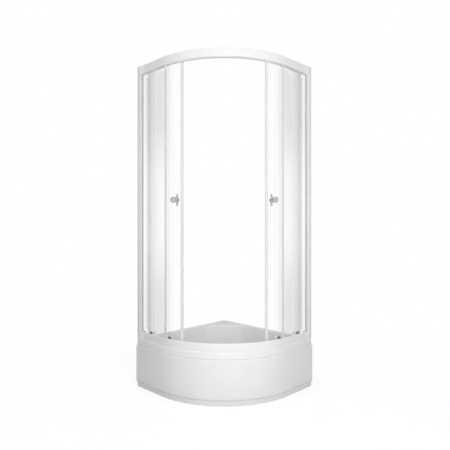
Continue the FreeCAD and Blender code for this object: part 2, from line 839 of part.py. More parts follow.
strip_section = [
    (strip_start, "fixed_glass_offset - strip_wall"),
    (strip_end, "fixed_glass_offset - strip_wall"),
    (strip_end, f"{fixed_glass_back} + strip_wall"),
    (strip_start, f"{fixed_glass_back} + strip_wall"),
    (strip_start, fixed_glass_back),
    (fixed_glass_edge, fixed_glass_back),
    (fixed_glass_edge, "fixed_glass_offset"),
    (strip_start, "fixed_glass_offset"),
]
strip = upright("strip", [strip_section], bottom_rail_top, top_rail_bottom)
fin = new_sketch(strip, "strip_fin", "XY_Plane", lift="fin_end_clear")
fin_section = [
    (f"{strip_end} - fin_thickness", fixed_glass_back),
    (strip_end, fixed_glass_back),
    (f"{strip_end} + fin_run", "fin_offset"),
    (f"{strip_end} + fin_run - fin_thickness", "fin_offset"),
]
polygon(fin, fin_section)
pad(strip, fin, f"{top_rail_bottom} - {bottom_rail_top} - 2 * fin_end_clear")
pair(strip, "edge_strip")

# Doors. Each piece is drawn closed, about the arc's centre, with angles counted from the diagonal
# towards the left wall, and then swung open about the door's pivot.
arc_centre = FreeCAD.Vector(value(f"{half} - plan_radius"), value(f"plan_radius - {half}"), 0)
path_left = value(f"path_left_ratio * {wheel_plane}")
path_back = value(f"path_back_ratio * {wheel_plane}")
pivot = arc_centre + FreeCAD.Vector(-path_left, path_back, 0)
to_corner = FreeCAD.Vector(-1, 1, 0).normalize()
closed_base = arc_centre + to_corner * value(f"path_inset_ratio * {wheel_plane}")
closed = FreeCAD.Placement(closed_base, FreeCAD.Rotation())
diagonal_angle = -45
glass_middle = f"(({door_outer} + {door_inner}) / 2)"


def degrees_along(length):
    return f"({length} / {glass_middle} * 180 / pi)"


def radial(angle):
    heading = math.radians(diagonal_angle - value(angle))
    return FreeCAD.Vector(math.cos(heading), math.sin(heading), 0)


# A door opens by its swing, or on a short arm until its trailing fin is near the wall. Where the
# fin doesn't clear the back of the jamb, it stops before the jamb.
trailing_end = f"(door_sweep + {degrees_along('trailing_nose')})"
fin_radius = value(f"{door_outer} + trailing_fin")
fin_arm = closed.multVec(radial(trailing_end) * fin_radius) - pivot
jamb_line = "(jamb_reach + door_wall_gap)"
jamb_turn = math.acos((value(f"{jamb_line} - {half}") - pivot.x) / fin_arm.Length)
fin_offset_there = pivot.y - fin_arm.Length * math.sin(jamb_turn) + value(f"{half} - rail_setback")
fin_clears_jamb = fin_offset_there > value(f"{jamb_back} + door_wall_gap")
stop_line = "door_wall_gap" if fin_clears_jamb else jamb_line
stop_turn = math.acos((value(f"{stop_line} - {half}") - pivot.x) / fin_arm.Length)
stop_swing = math.degrees(stop_turn + math.atan2(fin_arm.y, fin_arm.x))
swing_angle = min(value("door_swing"), stop_swing)
swing = FreeCAD.Rotation(FreeCAD.Vector(0, 0, 1), -swing_angle)
door_open = FreeCAD.Placement(FreeCAD.Vector(0, 0, 0), swing, pivot) * closed


def sector(name, inner, outer, start, sweep, bottom, top):
    # A curved slab between two radii, from an angle towards the left wall
    slabs = []
    for side, radius in (("outer", outer), ("inner", inner)):
        slab = doc.addObject("Part::Cylinder", f"{name}_{side}")
        bind(slab, {"Radius": radius, "Height": f"{top} - {bottom}", "Angle": sweep})
        turn = FreeCAD.Rotation(FreeCAD.Vector(0, 0, 1), diagonal_angle - value(f"{start} + {sweep}"))
        slab.Placement = FreeCAD.Placement(FreeCAD.Vector(0, 0, value(bottom)), turn)
        slabs.append(slab)
    return drilled(name, slabs[0], slabs[1:])


def radial_rod(name, radius, inner, outer, angle, height):
    along = radial(angle)
    at = along * value(inner) + FreeCAD.Vector(0, 0, value(height))
    return rod(name, radius, f"{outer} - ({inner})", at, along)


def door_piece(source, label):
    source.Placement = door_open
    pair(source, label)


tip = degrees_along("meeting_gap")
glass_tip = degrees_along("(meeting_gap + magnet_width - magnet_cover)")
wheel_places = {}
for end, angle in (("front", "front_wheel_angle"), ("rear", "rear_wheel_angle")):
    wheel_places[f"{end}_bottom"] = (angle, f"({bottom_track} + wheel_gap + wheel_radius)")
    wheel_places[f"{end}_top"] = (angle, f"({top_track} + wheel_gap + wheel_radius)")

# Door glass with its roller holes and knob hole
knob_angle = degrees_along("(meeting_gap + knob_from_tip)")
glass_sweep = f"(door_sweep - {glass_tip})"
door_slab = sector("door_slab", door_inner, door_outer, glass_tip, glass_sweep, door_bottom, door_top)
glass_tools = []
for where, (angle, height) in wheel_places.items():
    hole = ("glass_hole_radius", f"({door_inner} - cap_thickness)", f"({door_outer} + cap_thickness)")
    glass_tools.append(radial_rod(f"{where}_glass_hole", *hole, angle, height))
hole = ("stud_thread + bush_gap", f"({door_inner} - cap_thickness)", f"({door_outer} + cap_thickness)")
glass_tools.append(radial_rod("knob_glass_hole", *hole, knob_angle, "knob_height"))
door_piece(drilled("door_pane", door_slab, glass_tools), "door_glass")

# Magnetic strip on the leading edge and the seal on the trailing edge
magnet_inner = f"({door_inner} - magnet_wall)"
magnet_outer = f"({door_outer} + magnet_wall)"
magnet_sweep = degrees_along("magnet_width")
magnet_bar = sector("magnet_bar", magnet_inner, magnet_outer, tip, magnet_sweep, door_bottom, door_top)
slot_radii = (f"({door_inner} - edge_gap)", f"({door_outer} + edge_gap)")
magnet_slot = sector("magnet_slot", *slot_radii, glass_tip, magnet_sweep, door_bottom, door_top)
door_piece(drilled("magnet_profile", magnet_bar, [magnet_slot]), "magnetic_strip")
seal_start = f"(door_sweep - {degrees_along('trailing_cover')})"
seal_sweep = degrees_along("(trailing_cover + trailing_nose)")
seal_bar = sector(
    "seal_bar",
    f"({door_inner} - trailing_wall)",
    f"({door_outer} + trailing_wall)",
    seal_start,
    seal_sweep,
    door_bottom,
    door_top,
)
cover_sweep = degrees_along("trailing_cover")
seal_slot = sector("seal_slot", *slot_radii, seal_start, cover_sweep, door_bottom, door_top)
seal_clip = drilled("seal_clip", seal_bar, [seal_slot])
fin_start = f"(door_sweep + {degrees_along('(trailing_nose - trailing_fin_thickness)')})"
seal_fin = sector(
    "seal_fin",
    f"({door_outer} + edge_gap)",
    f"({door_outer} + trailing_fin)",
    fin_start,
    degrees_along("trailing_fin_thickness"),
    f"({bottom_rail_top} + trailing_end_clear)",
    f"({top_rail_bottom} - trailing_end_clear)",
)
# Behind the rails the fin is narrower
seal_root = sector(
    "seal_root",
    f"({door_outer} + edge_gap)",
    f"({door_outer} + trailing_root)",
    fin_start,
    degrees_along("trailing_fin_thickness"),
    door_bottom,
    door_top,
)
door_piece(joined("seal_profile", [seal_clip, seal_root, seal_fin]), "trailing_seal")

# Rollers: wheel, axle with its head, bush through the glass and inner cap
cap_face = f"({door_inner} - cap_gap)"
cap_back = f"({cap_face} - cap_thickness)"
axle_end = f"({cap_face} - cap_grip)"
wheel_inner = f"({wheel_plane} - wheel_width / 2)"
wheel_outer = f"({wheel_plane} + wheel_width / 2)"
head_seat = f"({wheel_outer} + wheel_side_gap)"
bush_end = f"({wheel_inner} - wheel_side_gap)"
bore_radius = "axle_radius + axle_fit"
axles = []
bushes = []
caps = []
for where, (angle, height) in wheel_places.items():
    tyre = radial_rod(f"{where}_tyre", "wheel_radius", wheel_inner, wheel_outer, angle, height)
    bore = radial_rod(f"{where}_bore", bore_radius, wheel_inner, wheel_outer, angle, height)
    door_piece(drilled(f"{where}_wheel_bored", tyre, [bore]), f"{where}_wheel")
    shaft = radial_rod(f"{where}_shaft", "axle_radius", axle_end, head_seat, angle, height)
    head_end = f"({head_seat} + axle_head_height)"
    head = radial_rod(f"{where}_axle_head", "axle_head", head_seat, head_end, angle, height)
    axles.append(joined(f"{where}_axle", [shaft, head]))
    sleeve = radial_rod(f"{where}_sleeve", "bush_radius", door_outer, bush_end, angle, height)
    spigot_radius = "glass_hole_radius - bush_gap"
    spigot = radial_rod(f"{where}_spigot", spigot_radius, cap_face, door_outer, angle, height)
    bush = joined(f"{where}_bush_solid", [sleeve, spigot])
    way = radial_rod(f"{where}_bush_way", bore_radius, cap_face, bush_end, angle, height)
    bushes.append(drilled(f"{where}_bush", bush, [way]))
    button = radial_rod(f"{where}_button", "cap_radius", cap_back, cap_face, angle, height)
    thread = radial_rod(f"{where}_thread", bore_radius, axle_end, cap_face, angle, height)
    caps.append(drilled(f"{where}_cap", button, [thread]))


def door_group(members, label):
    source = doc.addObject("Part::Compound", f"{label}_group")
    source.Links = members
    door_piece(source, label)


door_group(axles, "roller_axles")
door_group(bushes, "roller_bushes")
door_group(caps, "roller_caps")

# Knob: bar and round knob outside, cap inside, on one stud through the glass
bar_top = f"({door_outer} + knob_bar_thickness)"
neck_end = f"({bar_top} + knob_neck_length)"
knob_end = f"({neck_end} + knob_thickness)"
stud_outer = f"({bar_top} + stud_grip)"
stud_inner = f"({cap_face} - stud_grip / 3)"
knob_at = (knob_angle, "knob_height")
way_radius = "stud_thread + thread_gap"
neck = radial_rod("knob_neck", "knob_neck_radius", bar_top, neck_end, *knob_at)
disc = radial_rod("knob_disc", "knob_radius", neck_end, f"({knob_end} - knob_round)", *knob_at)
face = doc.addObject("Part::Cone", "knob_face")
bind(face, {"Radius1": "knob_radius", "Radius2": "knob_radius - knob_round", "Height": "knob_round"})
face_along = radial(knob_angle)
face_at = face_along * value(f"{knob_end} - knob_round") + FreeCAD.Vector(0, 0, value("knob_height"))
face.Placement = FreeCAD.Placement(face_at, FreeCAD.Rotation(FreeCAD.Vector(0, 0, 1), face_along))
knob_thread = radial_rod("knob_thread", way_radius, bar_top, stud_outer, *knob_at)
door_piece(drilled("knob_bored", joined("knob_solid", [neck, disc, face]), [knob_thread]), "knob")
handle = doc.addObject("Part::Box", "knob_bar_block")
bind(handle, {"Length": "knob_bar_thickness", "Width": "knob_bar_width", "Height": "knob_bar_length"})
handle_turn = FreeCAD.Rotation(FreeCAD.Vector(1, 0, 0), face_along)
handle_corner = FreeCAD.Vector(
    value(door_outer), -value("knob_bar_width / 2"), value("knob_height - knob_bar_length / 2")
)
handle.Placement = FreeCAD.Placement(handle_turn.multVec(handle_corner), handle_turn)
handle_way = radial_rod("knob_bar_way", way_radius, door_outer, bar_top, *knob_at)
door_piece(drilled("knob_bar_bored", handle, [handle_way]), "knob_bar")
stud = radial_rod("knob_stud_rod", "stud_thread", stud_inner, stud_outer, *knob_at)
door_group([stud], "knob_stud")
knob_cap_back = f"({cap_face} - knob_cap_thickness)"
button = radial_rod("knob_button", "knob_cap_radius", knob_cap_back, cap_face, *knob_at)
button_way = radial_rod("knob_button_way", way_radius, stud_inner, cap_face, *knob_at)
door_piece(drilled("knob_cap_bored", button, [button_way]), "knob_cap")

# Door stops on the straight part of the tracks, behind the rear wheels of the open doors
rear_wheel = door_open.multVec(radial("rear_wheel_angle") * value(wheel_plane))
stop_end = min(rear_wheel.x - value("wheel_radius + stop_gap"), arc_centre.x)
left_stops = []
for name, level in (("bottom", bottom_track), ("top", top_track)):
    stop = doc.addObject("Part::Box", f"{name}_stop")
    bind(
        stop,
        {
            "Length": "stop_length",
            "Width": "track_width - 2 * stop_side_gap",
            "Height": "stop_height",
            "Placement.Base.y": f"{partition} + stop_side_gap + rail_setback - {half}",
            "Placement.Base.z": level,
        },
    )
    stop.Placement.Base.x = stop_end - value("stop_length")
    left_stops.append(stop)
group("door_stops", left_stops + [mirrored(stop, f"{stop.Name}_right") for stop in left_stops])

doc.recompute()
for thing in doc.Objects:
    if "Invalid" in thing.State or "Error" in thing.State:
        raise RuntimeError(f"{thing.Label} did not rebuild: {thing.State}")
os.makedirs("parts", exist_ok=True)
for node in nodes:
    if node.Shape.isNull() or not node.Shape.isValid():
        raise RuntimeError(f"{node.Label} has no valid shape")
    node.Shape.exportStep(f"parts/{node.Label}.step")
    print(f"{node.Label}: {len(node.Shape.Solids)} solids, {node.Shape.Volume / 1000:.1f} cm3")
print(f"{len(nodes)} nodes")
print("door pivot", pivot, "swing", swing_angle, "of at most", stop_swing)
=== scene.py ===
import json
import math

import bmesh
import bpy
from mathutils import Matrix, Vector


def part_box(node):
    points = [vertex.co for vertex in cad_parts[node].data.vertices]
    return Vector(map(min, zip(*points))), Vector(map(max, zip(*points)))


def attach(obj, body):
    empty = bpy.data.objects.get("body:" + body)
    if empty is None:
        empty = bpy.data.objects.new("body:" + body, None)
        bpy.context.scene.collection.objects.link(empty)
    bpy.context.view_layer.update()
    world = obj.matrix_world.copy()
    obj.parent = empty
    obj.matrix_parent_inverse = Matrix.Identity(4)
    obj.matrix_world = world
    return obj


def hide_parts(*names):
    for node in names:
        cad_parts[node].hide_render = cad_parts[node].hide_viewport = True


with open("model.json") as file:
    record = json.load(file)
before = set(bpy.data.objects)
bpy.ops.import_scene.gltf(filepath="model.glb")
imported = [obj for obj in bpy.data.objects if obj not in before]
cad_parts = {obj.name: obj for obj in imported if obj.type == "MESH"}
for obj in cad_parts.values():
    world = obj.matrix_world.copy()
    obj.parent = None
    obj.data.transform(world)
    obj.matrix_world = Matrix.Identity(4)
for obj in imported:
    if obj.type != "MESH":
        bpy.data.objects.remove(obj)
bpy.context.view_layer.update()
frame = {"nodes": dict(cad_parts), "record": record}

# The enclosure's plan in metres, as in the part's source
plan = {
    "half": 0.4,
    "centre": (-0.15, 0.15),  # middle of the apron's and the rails' quarter arc
    "radius": 0.55,
    "railSetback": 0.012,  # from the apron's face to the rails' outer face
    "arcSteps": 60,
}
mm = 0.001


# Shader sums: a wire is a socket, and a sum on it adds a Math node
def plug(tree, slot, item):
    if isinstance(item, Wire):
        tree.links.new(item.socket, slot)
    else:
        slot.default_value = item


class Wire:
    def __init__(self, tree, socket):
        self.tree = tree
        self.socket = socket

    def maths(self, operation, first, second):
        node = self.tree.nodes.new("ShaderNodeMath")
        node.operation = operation
        plug(self.tree, node.inputs[0], first)
        plug(self.tree, node.inputs[1], second)
        return Wire(self.tree, node.outputs[0])

    def __add__(self, other):
        return self.maths("ADD", self, other)

    def __radd__(self, other):
        return self.maths("ADD", other, self)

    def __sub__(self, other):
        return self.maths("SUBTRACT", self, other)

    def __rsub__(self, other):
        return self.maths("SUBTRACT", other, self)

    def __mul__(self, other):
        return self.maths("MULTIPLY", self, other)

    def __rmul__(self, other):
        return self.maths("MULTIPLY", other, self)

    def __abs__(self):
        return self.maths("ABSOLUTE", self, 0.0)

    def upTo(self, top):
        return self.maths("MINIMUM", self, top)


class Finish:
    def __init__(self, holder):
        holder.use_nodes = True
        self.holder = holder
        self.tree = holder.node_tree
        self.tree.nodes.clear()

    def node(self, kind, settings=None, sockets=None, out=0):
        made = self.tree.nodes.new(kind)
        for key, item in (settings or {}).items():
            setattr(made, key, item)
        for key, item in (sockets or {}).items():
            plug(self.tree, made.inputs[key], item)
        return Wire(self.tree, made.outputs[out])

    def place(self):
        return self.node("ShaderNodeTexCoord", out="Object")

    def ray(self, kind):
        return self.node("ShaderNodeLightPath", out=kind)

    def noise(self, scale, detail, stretch=None):
        where = self.place()
        if stretch:
            where = self.node("ShaderNodeVectorMath", {"operation": "MULTIPLY"}, {0: where, 1: stretch})
        sockets = {"Vector": where, "Scale": scale, "Detail": detail}
        return self.node("ShaderNodeTexNoise", {}, sockets, "Fac")

    def band(self, value, low, high):
        # 0 below low, 1 above high, smooth between
        sockets = {"Value": value, "From Min": low, "From Max": high}
        return self.node("ShaderNodeMapRange", {"interpolation_type": "SMOOTHSTEP"}, sockets)

    def tinted(self, pattern, look):
        # the look's two colours, mixed as the pattern crosses the look's band
        factor = self.band(pattern, *look["band"])
        sockets = {0: factor, 6: (*look["colour"], 1.0), 7: (*look["second"], 1.0)}  # 6 and 7 take colours
        return self.node("ShaderNodeMix", {"data_type": "RGBA"}, sockets, 2)

    def bump(self, height, strength, distance):
        sockets = {"Strength": strength, "Distance": distance, "Height": height}
        return self.node("ShaderNodeBump", {}, sockets, "Normal")

    def principled(self, sockets):
        return self.node("ShaderNodeBsdfPrincipled", {}, sockets)

    def show(self, shader, kind="ShaderNodeOutputMaterial"):
        output = self.tree.nodes.new(kind)
        self.tree.links.new(shader.socket, output.inputs["Surface"])
        return self.holder


def newFinish(name):
    return Finish(bpy.data.materials.new(name))


# In every look a noise is its scale, its detail and its stretch, and a bump is its strength and depth

# White sanitary acrylic: glossy, with a faint cast ripple and soft wipe marks
acrylicLook = {
    "colour": (0.876, 0.856, 0.86),
    "second": (0.856, 0.836, 0.842),
    "cloud": (5.0, 3.0),
    "band": (0.35, 0.75),
    "roughness": 0.34,
    "wipe": (18.0, 4.0, (1.0, 1.0, 0.25)),
    "wipeRoughness": 0.08,
    "ripple": (55.0, 2.0),
    "grain": (900.0, 1.0),
    "grainShare": 0.15,
    "bump": (0.05, 0.0006),
}


def makeAcrylic():
    look = acrylicLook
    finish = newFinish("whiteAcrylic")
    height = finish.noise(*look["ripple"]) + finish.noise(*look["grain"]) * look["grainShare"]
    wipe = finish.noise(*look["wipe"])
    return finish.show(finish.principled({
        "Base Color": finish.tinted(finish.noise(*look["cloud"]), look),
        "Roughness": look["roughness"] + wipe * look["wipeRoughness"],
        "Normal": finish.bump(height, *look["bump"]),
    }))


# Clear float glass, with a trace of dried water and wipe marks. Lamps shine straight through it.
glassLook = {
    "colour": (0.993, 0.994, 0.994),
    "second": (0.988, 0.99, 0.99),
    "marks": (7.0, 5.0, (1.0, 1.0, 0.6)),
    "band": (0.5, 0.8),
    "dullBand": (0.6, 0.9),
    "dullRoughness": 0.004,
    "shadow": (0.99, 0.992, 0.992, 1.0),
    "index": 1.5,
}


def makeGlass():
    look = glassLook
    finish = newFinish("clearGlass")
    marks = finish.noise(*look["marks"])
    pane = finish.principled({
        "Base Color": finish.tinted(marks, look),
        "Roughness": finish.band(marks, *look["dullBand"]) * look["dullRoughness"],
        "Transmission Weight": 1.0,
        "IOR": look["index"],
    })
    lamp = finish.node("ShaderNodeBsdfTransparent", {}, {"Color": look["shadow"]})
    passing = finish.ray("Is Shadow Ray") + finish.ray("Is Diffuse Ray")
    return finish.show(finish.node("ShaderNodeMixShader", {}, {0: passing, 1: pane, 2: lamp}))


# White powder coat on aluminium with a fine orange peel. The wall profiles wear a greyer copy of the same
# coat, which is painted shade.
coatLook = {
    "cloud": (9.0, 3.0),
    "band": (0.3, 0.8),
    "grain": (1400.0, 2.0),
    "roughness": 0.3,
    "grainRoughness": 0.1,
    "bump": (0.08, 0.0002),
    "kinds": {
        "whitePowderCoat": {"colour": (0.9, 0.887, 0.888), "second": (0.88, 0.867, 0.868)},
        # the same white coat made greyer: painted shade on the wall profiles
        "wallPowderCoatPaintedShade": {"colour": (0.85, 0.838, 0.839), "second": (0.83, 0.818, 0.819)},
    },
}

# Soft plastic seals, lips and fins, each with how much it covers what is behind it
stripLook = {
    "cloud": (30.0, 3.0, (1.0, 1.0, 0.2)),
    "band": (0.35, 0.75),
    "grain": (500.0, 2.0),
    "roughness": 0.3,
    "grainRoughness": 0.1,
    "bump": (0.05, 0.0002),
    "coverDrift": 0.04,
    "kinds": {
        "clearSeal": {"colour": (0.82, 0.82, 0.82), "second": (0.85, 0.85, 0.85), "cover": 0.96},
        "magnetLip": {"colour": (0.9, 0.9, 0.9), "second": (0.94, 0.94, 0.94), "cover": 0.04},
        "trailClip": {"colour": (0.96, 0.96, 0.96), "second": (0.98, 0.98, 0.98), "cover": 0.96},
        "trailFin": {"colour": (0.12, 0.12, 0.12), "second": (0.2, 0.2, 0.2), "cover": 0.15},
        "edgeStrip": {"colour": (0.74, 0.74, 0.74), "second": (0.78, 0.78, 0.78), "cover": 0.9},
        "edgeLip": {"colour": (0.95, 0.95, 0.95), "second": (0.97, 0.97, 0.97), "cover": 0.85},
        "edgeFin": {"colour": (0.6, 0.6, 0.61), "second": (0.66, 0.66, 0.67), "cover": 0.08},
    },
}

# Satin chrome: fine polishing lines and a few dull patches
chromeLook = {
    "cloud": (60.0, 3.0),
    "band": (0.4, 0.8),
    "grain": (600.0, 2.0, (1.0, 1.0, 6.0)),
    "roughness": 0.4,
    "grainRoughness": 0.12,
    "bump": (0.04, 0.0001),
    "metal": 0.75,
    "kinds": {"satinChrome": {"colour": (0.66, 0.65, 0.64), "second": (0.59, 0.58, 0.57)}},
}

# Moulded plastics and rubbers
mouldedLook = {
    "cloud": (24.0, 3.0),
    "band": (0.35, 0.75),
    "grainRoughness": 0.14,
    "kinds": {
        "rollerNylon": {
            "colour": (0.2, 0.2, 0.21), "second": (0.13, 0.13, 0.14),
            "roughness": 0.4, "grain": (900.0, 2.0), "bump": (0.12, 0.0003),
        },
        "greyPlastic": {
            "colour": (0.78, 0.78, 0.78), "second": (0.7, 0.7, 0.71),
            "roughness": 0.45, "grain": (700.0, 2.0), "bump": (0.12, 0.0003),
        },
        "gasketGrey": {
            "colour": (0.46, 0.46, 0.47), "second": (0.4, 0.4, 0.41),
            "roughness": 0.55, "grain": (900.0, 2.0), "bump": (0.15, 0.0003),
        },
        "blackRubber": {
            "colour": (0.035, 0.035, 0.037), "second": (0.055, 0.055, 0.056),
            "roughness": 0.62, "grain": (800.0, 2.0), "bump": (0.2, 0.0003),
        },
    },
}


def makeGrained(family, name):
    # clouded colour under a fine grain, with metal or cover where the look has them
    look = family | family["kinds"][name]
    finish = newFinish(name)
    cloud = finish.noise(*look["cloud"])
    grain = finish.noise(*look["grain"])
    sockets = {
        "Base Color": finish.tinted(cloud, look),
        "Roughness": look["roughness"] + grain * look["grainRoughness"],
        "Normal": finish.bump(grain, *look["bump"]),
    }
    if "metal" in look:
        sockets["Metallic"] = look["metal"]
    if "cover" in look:
        sockets["Alpha"] = look["cover"] + cloud * look["coverDrift"]
    return finish.show(finish.principled(sockets))


# Zinc coated steel with its spangle, and turned stainless screws
steelLook = {
    "spangleScale": 90.0,
    "band": (0.2, 0.7),
    "scuff": (260.0, 4.0, (0.3, 1.0, 1.0)),
    "scuffRoughness": 0.2,
    "bump": (0.06, 0.0002),
    "kinds": {
        "zincSteel": {"colour": (0.56, 0.57, 0.58), "second": (0.42, 0.43, 0.45), "roughness": 0.38},
        "screwSteel": {"colour": (0.6, 0.6, 0.61), "second": (0.5, 0.5, 0.51), "roughness": 0.26},
    },
}


def makeSteel(name):
    look = steelLook | steelLook["kinds"][name]
    finish = newFinish(name)
    sockets = {"Vector": finish.place(), "Scale": look["spangleScale"]}
    spangle = finish.node("ShaderNodeTexVoronoi", {}, sockets, "Distance")
    scuff = finish.noise(*look["scuff"])
    return finish.show(finish.principled({
        "Base Color": finish.tinted(spangle, look),
        "Metallic": 1.0,
        "Roughness": look["roughness"] + scuff * look["scuffRoughness"],
        "Normal": finish.bump(scuff, *look["bump"]),
    }))


# Finishes by the solids' material slots, and those that a few pieces wear instead
finishes = {
    "acrylic": makeAcrylic(),
    "clear_glass": makeGlass(),
    "white_aluminium": makeGrained(coatLook, "whitePowderCoat"),
    # the wall profiles' copy of the white coat, made greyer as painted shade
    "paintedShadeWallCoat": makeGrained(coatLook, "wallPowderCoatPaintedShade"),
    "seal_plastic": makeGrained(stripLook, "clearSeal"),
    "chrome": makeGrained(chromeLook, "satinChrome"),
    "roller_nylon": makeGrained(mouldedLook, "rollerNylon"),
    "plain_plastic": makeGrained(mouldedLook, "greyPlastic"),
    "gasket_grey": makeGrained(mouldedLook, "gasketGrey"),
    "rubber_black": makeGrained(mouldedLook, "blackRubber"),
    "galvanised_steel": makeSteel("zincSteel"),
    "screw_steel": makeSteel("screwSteel"),
}
for name in ("magnetLip", "trailClip", "trailFin", "edgeStrip", "edgeLip", "edgeFin"):
    finishes[name] = makeGrained(stripLook, name)
for entry in frame["record"]["subparts"]:
    carried = frame["nodes"][entry["node"]]
    for slot in carried.material_slots:
        slot.material = finishes[entry["material_slot"]]
print("finishes:", len(finishes))

# Mesh helpers. Outlines are closed lists of corners, and rings are closed loops of points.
meshing = {
    "cornerShare": 0.49,  # how much of a side one rounded corner may take
    "mergeWithin": 2e-6,
    "shortBelow": 1e-6,
    "sharpFrom": 32.0,
    "bevelFrom": 45.0,
    "bevelSegments": 2,
}


def inMetres(corners):
    return [(a * mm, b * mm) for a, b in corners]


def quarterTurns(steps):
    return [math.radians(90 * step / steps) for step in range(steps + 1)]


def eased(corners, radius, steps):
    # rounds every corner of an outline by one radius, or each by its own
    made = []
    for index, corner in enumerate(corners):
        size = radius[index] if isinstance(radius, list) else radius
        here = Vector(corner)
        into = Vector(corners[index - 1]) - here
        away = Vector(corners[(index + 1) % len(corners)]) - here
        room = min(into.length, away.length) * meshing["cornerShare"]
        reach = min(size / math.tan(into.angle(away) / 2), room)
        start = here + into.normalized() * reach
        end = here + away.normalized() * reach
        for step in range(steps + 1):
            t = step / steps
            made.append(start * (1 - t) ** 2 + here * (2 * t * (1 - t)) + end * t**2)
    return made


def loft(rings, around=False):
    # skins a row of rings, with flat ends, or joins the last ring to the first
    size = len(rings[0])
    points = [tuple(point) for ring in rings for point in ring]
    faces = []
    for row in range(len(rings) if around else len(rings) - 1):
        low = row * size
        high = (row + 1) % len(rings) * size
        for step in range(size):
            after = (step + 1) % size
            faces.append((low + step, low + after, high + after, high + step))
    if not around:
        faces.append(tuple(reversed(range(size))))
        faces.append(tuple(range((len(rings) - 1) * size, len(rings) * size)))
    return points, faces


def bent(section, start):
    # a section of (distance from the arc's middle, height) along the left arm, the arc and the right arm
    cx, cy = plan["centre"]
    rings = [[(start - plan["half"], cy - far, height) for far, height in section]]
    for turn in quarterTurns(plan["arcSteps"]):
        across, along = math.sin(turn), math.cos(turn)
        rings.append([(cx + far * across, cy - far * along, height) for far, height in section])
    rings.append([(cx + far, plan["half"] - start, height) for far, height in section])
    return loft(rings)


def lathe(profile, at, axis, steps=48):
    # a closed profile of (distance along the axis, radius)
    side = axis.orthogonal().normalized()
    other = axis.cross(side)
    rings = []
    for far, radius in profile:
        ring = []
        for step in range(steps):
            turn = 2 * math.pi * step / steps
            ring.append(at + axis * far + (side * math.cos(turn) + other * math.sin(turn)) * radius)
        rings.append(ring)
    return loft(rings, around=True)


def joinedShapes(shapes):
    points = []
    faces = []
    for morePoints, moreFaces in shapes:
        faces += [tuple(index + len(points) for index in face) for face in moreFaces]
        points += morePoints
    return points, faces


def otherSide(shape):
    # the right-hand twin, across the diagonal through the room corner
    points, faces = shape
    return [(-y, -x, z) for x, y, z in points], [tuple(reversed(face)) for face in faces]


def newObject(name, content):
    made = bpy.data.objects.new(name, content)
    bpy.context.scene.collection.objects.link(made)
    return made


def addPiece(name, shape, slot, body, nodes, bevel=0.0, wear=None):
    mesh = bpy.data.meshes.new(name)
    mesh.from_pydata(shape[0], [], shape[1])
    skin = bmesh.new()
    skin.from_mesh(mesh)
    bmesh.ops.remove_doubles(skin, verts=skin.verts, dist=meshing["mergeWithin"])
    bmesh.ops.dissolve_degenerate(skin, edges=skin.edges, dist=meshing["shortBelow"])
    bmesh.ops.recalc_face_normals(skin, faces=skin.faces)
    skin.to_mesh(mesh)
    skin.free()
    mesh.shade_smooth()
    mesh.set_sharp_from_angle(angle=math.radians(meshing["sharpFrom"]))
    mesh.materials.append(finishes[wear or slot])
    piece = newObject(name, mesh)
    if bevel:
        edge = piece.modifiers.new("edge", "BEVEL")
        edge.width = bevel
        edge.segments = meshing["bevelSegments"]
        edge.limit_method = "ANGLE"
        edge.angle_limit = math.radians(meshing["bevelFrom"])
    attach(piece, body)
    if nodes:
        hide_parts(*nodes)


def addTwins(name, shape, slot, body, node, bevel=0.0, wear=None):
    for side, made in (("left", shape), ("right", otherSide(shape))):
        target = body if body == "cabin" else f"{side}_{body}"
        nodes = [f"{side}_{node}"] if node else []
        addPiece(f"{side}{name}", made, slot, target, nodes, bevel, wear)


# Tray: one skin from the drain hole over the floor, basin walls, rim and skirt, and back underneath
tray = {
    "rimTop": 0.307,
    "rimHeight": 0.039,
    "rimSetback": 0.005,  # from the apron's face
    "rimDraft": 4.0,
    "rimRound": 0.0065,
    "rimBackRound": 0.001,
    "rimCut": 0.004,
    "rimCornerRounds": [0.004, 0.002, 0.002, 0.004],
    "basinRadius": 0.5,
    "basinReach": 0.217,
    "basinDraft": 6.0,
    "basinCut": 0.19,
    "basinCornerRounds": [0.03, 0.05, 0.05, 0.03],
    "edgeRound": 0.008,
    "floor": 0.1,
    "floorRound": 0.03,
    "wall": 0.005,
    "drainBore": 0.046,
    "drainAt": (-0.06, 0.06),
    "cornerSteps": 8,
    "roundSteps": 6,
}


def planLoop(radius, reach, cut, rounds, height):
    # the quarter arc, two straight sides and a back corner that is cut off, about the arc's middle
    cx, cy = plan["centre"]
    arc = [(radius * math.sin(turn), -radius * math.cos(turn)) for turn in quarterTurns(plan["arcSteps"])]
    corners = [(radius, reach), (cut - reach, reach), (-reach, reach - cut), (-reach, -radius)]
    arcEnds = [(0.0, -radius), (radius, 0.0)]  # only there to give the outer corners their sides
    steps = tray["cornerSteps"]
    soft = eased(arcEnds + corners, [0.0, 0.0, *rounds], steps)[len(arcEnds) * (steps + 1):]
    return [(cx + x, cy + y, height) for x, y in arc + soft]


def basinLoop(inset, height, thick=0.0):
    slant = inset - thick
    radius, reach = tray["basinRadius"] - slant, tray["basinReach"] - slant
    cut = tray["basinCut"] - (2 - math.sqrt(2)) * slant
    return planLoop(radius, reach, cut, tray["basinCornerRounds"], height)


def rimLoop(radius, reach, height):
    return planLoop(radius, reach, tray["rimCut"], tray["rimCornerRounds"], height)


def drainLoop(height):
    cx, cy = tray["drainAt"]
    bore = tray["drainBore"]
    ways = [Vector((x - cx, y - cy)).normalized() for x, y, z in basinLoop(0.0, height)]
    return [(cx + way.x * bore, cy + way.y * bore, height) for way in ways]


